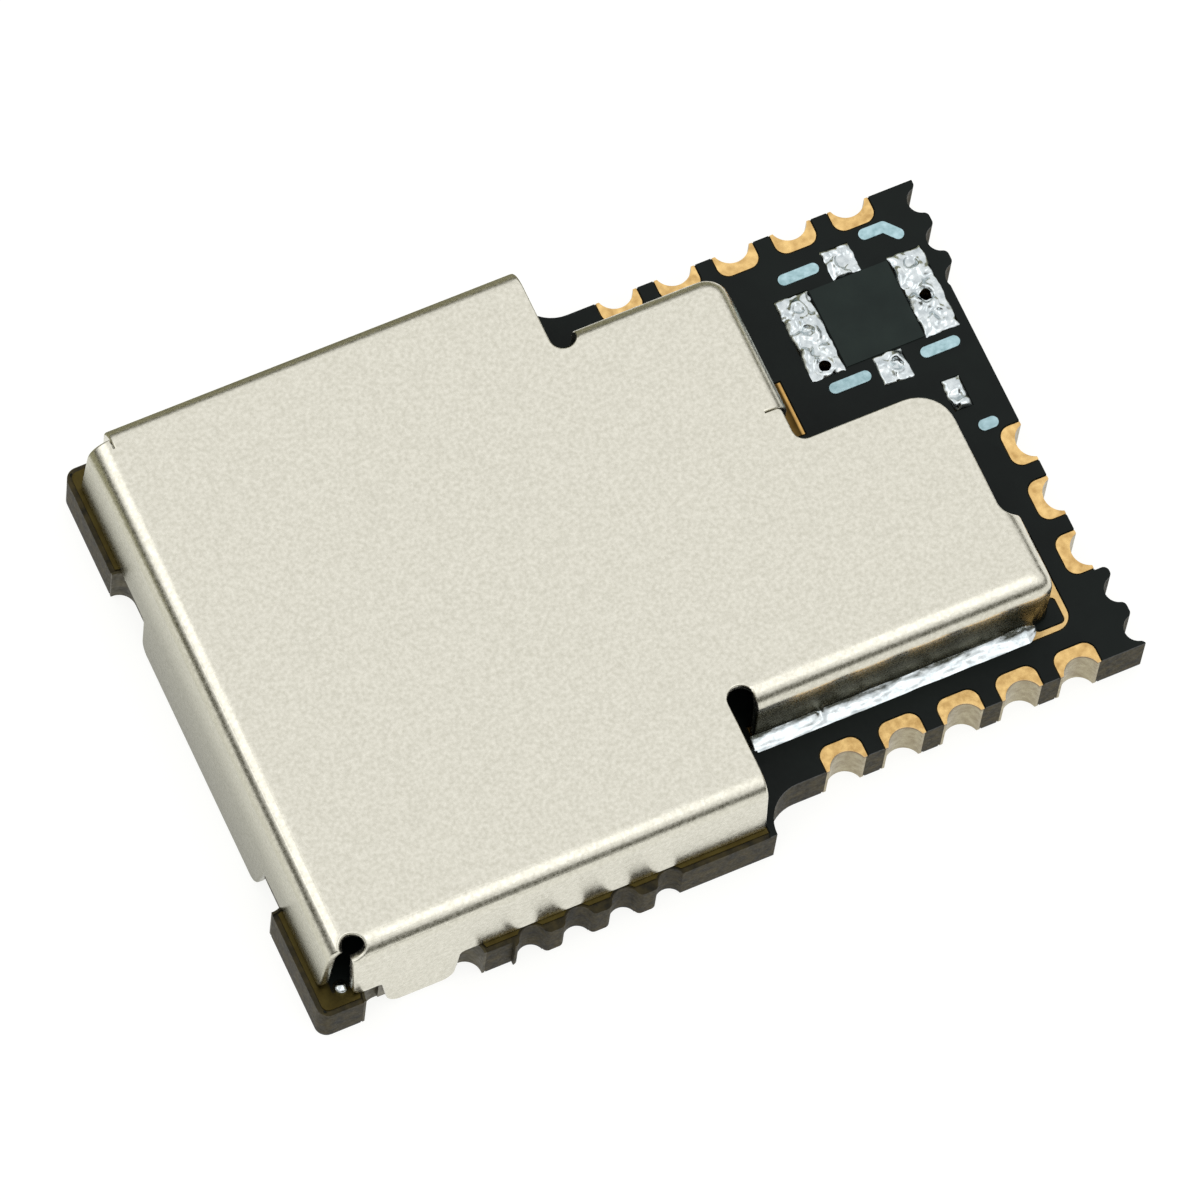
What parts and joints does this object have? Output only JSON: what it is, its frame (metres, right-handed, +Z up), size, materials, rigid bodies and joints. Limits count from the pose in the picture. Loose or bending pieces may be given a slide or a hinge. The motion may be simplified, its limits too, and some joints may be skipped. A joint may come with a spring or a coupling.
{
  "type": "sub-gigahertz radio module",
  "caption": "Surface-mount radio module: stepped board with plated half holes, a folded metal shield can with soldered tabs, and a bare antenna connector site.",
  "frame": {"origin": "middle of the footprint on the board's underside", "axes": "+X along the board towards the narrow half, +Y towards the bay side, +Z up through the can"},
  "size_m": [0.0182, 0.0126, 0.0029],
  "materials": {
    "laminate": "cut glass-epoxy, matt",
    "solder_mask": "satin black mask",
    "gold_plating": "satin gold plating on copper",
    "slot_plating": "tinned copper, satin",
    "nickel_silver": "satin sheet metal",
    "solder": "bright reflowed solder",
    "marking_ink": "printed ink, matt",
    "moulding_compound": "matt moulded epoxy",
    "ceramic": "fired ceramic, matt",
    "white_ceramic": "fired ceramic, matt",
    "ferrite": "pressed ferrite, matt",
    "tin_plating": "matt tin plating"
  },
  "bodies": {
    "root": {"board_laminate": "laminate", "top_solder_mask": "solder_mask", "bottom_solder_mask": "solder_mask", "far_castellations": "gold_plating", "near_castellations": "gold_plating", "right_castellations": "gold_plating", "tab_slot_plating": "slot_plating", "shield_ground_land": "gold_plating", "shield_can": "nickel_silver", "shield_seam_solder": "solder", "tab_solder": "solder", "connector_ground_lands": "gold_plating", "connector_signal_lands": "gold_plating", "connector_ground_solder": "solder", "connector_signal_solder": "solder", "antenna_link_land": "gold_plating", "antenna_link_solder": "solder", "silkscreen_marks": "marking_ink", "component_lands": "gold_plating", "component_solder": "solder", "transceiver_chip": "moulding_compound", "transceiver_terminals": "tin_plating", "oscillator_base": "ceramic", "oscillator_lid": "nickel_silver", "antenna_switch_body": "moulding_compound", "antenna_switch_leads": "tin_plating", "converter_inductor_core": "ferrite", "converter_inductor_terminals": "tin_plating", "matching_inductor_bodies": "white_ceramic", "matching_inductor_terminals": "tin_plating", "capacitor_bodies": "ceramic", "capacitor_terminals": "tin_plating"}
  },
  "joints": []
}
